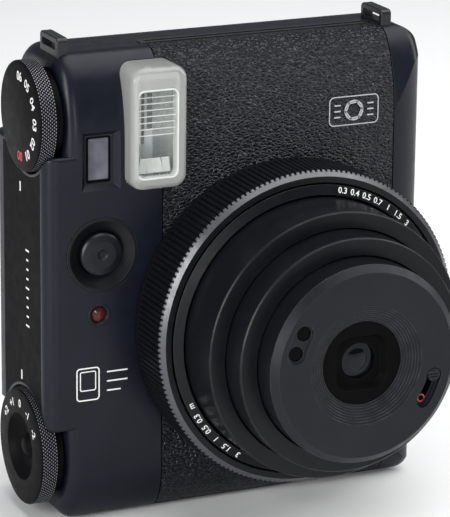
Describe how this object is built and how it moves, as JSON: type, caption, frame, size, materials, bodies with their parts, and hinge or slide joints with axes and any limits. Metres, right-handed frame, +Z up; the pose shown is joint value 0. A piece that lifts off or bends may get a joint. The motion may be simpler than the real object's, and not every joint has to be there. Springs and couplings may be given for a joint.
{
  "type": "instant camera",
  "caption": "Instant film camera with a telescoping lens, ribbed focus ring, side dials, clear flash cover, grained front and a rear film door.",
  "frame": {"origin": "mouth of the tripod socket in the middle of the base", "axes": "+Z up, the lens looks along -Y, +X to the right seen from the front"},
  "size_m": [0.1043, 0.0851, 0.1212],
  "materials": {
    "case": "fine matte texture",
    "side_plate": "satin black",
    "leatherette": "pebbled grain",
    "lens_black": "matte black",
    "ring": "satin black with bright worn teeth",
    "dial": "satin black, knurled rim",
    "clear_cover": "clear moulded plastic",
    "reflector": "bright",
    "optical_glass": "coated",
    "dark_window": "glossy",
    "lamp_red": "translucent dark red",
    "steel": "satin",
    "black_metal": "satin black",
    "rubber": "matte",
    "button": "satin",
    "inner_black": "dead matte",
    "film_pack": "matte",
    "film": "glossy",
    "board": "solder mask",
    "battery": "satin",
    "gear": "satin white",
    "can": "sleeve"
  },
  "bodies": {
    "camera_body": {"front_shell": "case", "rear_shell": "case", "side_panel": "side_plate", "leather_cover": "leatherette", "film_exit_lip": "black_metal", "strap_lug_left": "black_metal", "strap_lug_right": "black_metal", "tripod_socket": "steel", "case_screws": "steel", "dark_chamber": "inner_black", "lens_mount": "lens_black", "lens_bezel": "lens_black", "flash_cover": "clear_cover", "flash_reflector": "reflector", "flash_tube": "optical_glass", "flash_capacitor": "can", "finder_window": "optical_glass", "finder_tube": "inner_black", "finder_eyepiece": "optical_glass", "eyecup": "rubber", "shutter_dish": "lens_black", "timer_lamp": "lamp_red", "lamp_bezel": "black_metal", "battery": "battery", "main_board": "board", "display_window": "dark_window", "drive_motor": "steel", "gear_bracket": "steel", "film_cartridge": "film_pack", "film_sheets": "film", "usb_port": "steel", "door_pins": "steel"},
    "focus_ring": {"lens_ring": "ring"},
    "outer_tube": {"barrel_outer": "lens_black"},
    "middle_tube": {"barrel_middle": "lens_black"},
    "lens_head": {"barrel_inner": "lens_black", "lens_face": "lens_black", "sensor_windows": "dark_window", "lens_cell": "lens_black", "front_element": "optical_glass", "rear_element": "optical_glass"},
    "left_blade": {"shutter_blade_left": "inner_black"},
    "right_blade": {"shutter_blade_right": "inner_black"},
    "vignette_slider": {"vignette_switch": "button"},
    "effect_selector": {"effect_dial": "dial"},
    "brightness_selector": {"brightness_dial": "dial"},
    "release": {"shutter_button": "button"},
    "mode_key": {"mode_button": "button"},
    "flash_key": {"flash_button": "button"},
    "timer_key": {"timer_button": "button"},
    "door": {"film_door": "case", "door_window": "dark_window"},
    "latch": {"door_latch": "button"},
    "battery_lid": {"battery_door": "case"},
    "usb_lid": {"usb_cover": "case"},
    "front_roller": {"roller_front": "rubber"},
    "rear_roller": {"roller_rear": "steel"},
    "lower_idler": {"idler_lower": "gear"},
    "upper_idler": {"idler_upper": "gear"},
    "pinion": {"motor_pinion": "steel"}
  },
  "joints": [
    {"name": "lens_turn", "type": "hinge", "parent": "camera_body", "child": "focus_ring", "pos_m": [0.0116, -0.028, 0.049], "axis": [0, 1, 0], "range_deg": [0, 75]},
    {"name": "outer_slide", "type": "slide", "parent": "camera_body", "child": "outer_tube", "axis": [0, 1, 0], "range_m": [0, 0.012]},
    {"name": "middle_slide", "type": "slide", "parent": "outer_tube", "child": "middle_tube", "axis": [0, 1, 0], "range_m": [0, 0.006]},
    {"name": "inner_slide", "type": "slide", "parent": "middle_tube", "child": "lens_head", "axis": [0, 1, 0], "range_m": [0, 0.006]},
    {"name": "vignette_turn", "type": "hinge", "parent": "lens_head", "child": "vignette_slider", "pos_m": [0.0116, -0.067, 0.049], "axis": [0, 1, 0], "range_deg": [0, 20]},
    {"name": "left_blade_turn", "type": "hinge", "parent": "lens_head", "child": "left_blade", "pos_m": [-0.0004, -0.0588, 0.049], "axis": [0, -1, 0], "range_deg": [0, 40]},
    {"name": "right_blade_turn", "type": "hinge", "parent": "lens_head", "child": "right_blade", "pos_m": [0.0236, -0.0581, 0.049], "axis": [0, -1, 0], "range_deg": [0, 40]},
    {"name": "effect_turn", "type": "hinge", "parent": "camera_body", "child": "effect_selector", "pos_m": [-0.05, -0.0074, 0.102], "axis": [1, 0, 0], "range_deg": [0, 180]},
    {"name": "brightness_turn", "type": "hinge", "parent": "camera_body", "child": "brightness_selector", "pos_m": [-0.05, -0.0056, 0.0174], "axis": [1, 0, 0], "range_deg": [-60, 60]},
    {"name": "shutter_press", "type": "slide", "parent": "camera_body", "child": "release", "axis": [0, 1, 0], "range_m": [0, 0.0012], "stiffness_N_per_m": 300, "springref_m": -0.0006},
    {"name": "mode_press", "type": "slide", "parent": "camera_body", "child": "mode_key", "axis": [0, -1, 0], "range_m": [0, 0.0008], "stiffness_N_per_m": 300, "springref_m": -0.0004},
    {"name": "flash_press", "type": "slide", "parent": "camera_body", "child": "flash_key", "axis": [0, -1, 0], "range_m": [0, 0.0008], "stiffness_N_per_m": 300, "springref_m": -0.0004},
    {"name": "timer_press", "type": "slide", "parent": "camera_body", "child": "timer_key", "axis": [0, -1, 0], "range_m": [0, 0.0008], "stiffness_N_per_m": 300, "springref_m": -0.0004},
    {"name": "door_swing", "type": "hinge", "parent": "camera_body", "child": "door", "pos_m": [0.047, 0.0117, 0.0575], "axis": [0, 0, -1], "range_deg": [0, 95]},
    {"name": "latch_slide", "type": "slide", "parent": "door", "child": "latch", "axis": [0, 0, 1], "range_m": [0, 0.003], "stiffness_N_per_m": 150, "springref_m": -0.0005},
    {"name": "battery_lid_swing", "type": "hinge", "parent": "camera_body", "child": "battery_lid", "pos_m": [0.027, 0.0092, 0.0011], "axis": [1, 0, 0], "range_deg": [0, 90]},
    {"name": "usb_lid_swing", "type": "hinge", "parent": "camera_body", "child": "usb_lid", "pos_m": [0.05, -0.0069, 0.083], "axis": [0, 0, 1], "range_deg": [0, 100]},
    {"name": "rear_roller_spin", "type": "hinge", "parent": "camera_body", "child": "rear_roller", "pos_m": [0.0094, -0.0016, 0.11], "axis": [1, 0, 0], "continuous": true},
    {"name": "front_roller_spin", "type": "hinge", "parent": "camera_body", "child": "front_roller", "pos_m": [0.0094, -0.0062, 0.1089], "axis": [1, 0, 0], "continuous": true},
    {"name": "upper_idler_spin", "type": "hinge", "parent": "camera_body", "child": "upper_idler", "pos_m": [-0.0262, -0.0016, 0.0995], "axis": [1, 0, 0], "continuous": true},
    {"name": "lower_idler_spin", "type": "hinge", "parent": "camera_body", "child": "lower_idler", "pos_m": [-0.0262, -0.0016, 0.0855], "axis": [1, 0, 0], "continuous": true},
    {"name": "pinion_spin", "type": "hinge", "parent": "camera_body", "child": "pinion", "pos_m": [-0.0262, -0.0016, 0.0755], "axis": [1, 0, 0], "continuous": true}
  ],
  "couplings": [
    {"joint": "outer_slide", "follows": "lens_turn", "m_per_rad": 0.0091672},
    {"joint": "middle_slide", "follows": "lens_turn", "m_per_rad": 0.0045836},
    {"joint": "inner_slide", "follows": "lens_turn", "m_per_rad": 0.0045836},
    {"joint": "right_blade_turn", "follows": "left_blade_turn", "ratio": 1},
    {"joint": "front_roller_spin", "follows": "rear_roller_spin", "ratio": -1},
    {"joint": "upper_idler_spin", "follows": "rear_roller_spin", "ratio": -0.5},
    {"joint": "lower_idler_spin", "follows": "rear_roller_spin", "ratio": 0.5},
    {"joint": "pinion_spin", "follows": "rear_roller_spin", "ratio": -1.1667}
  ]
}
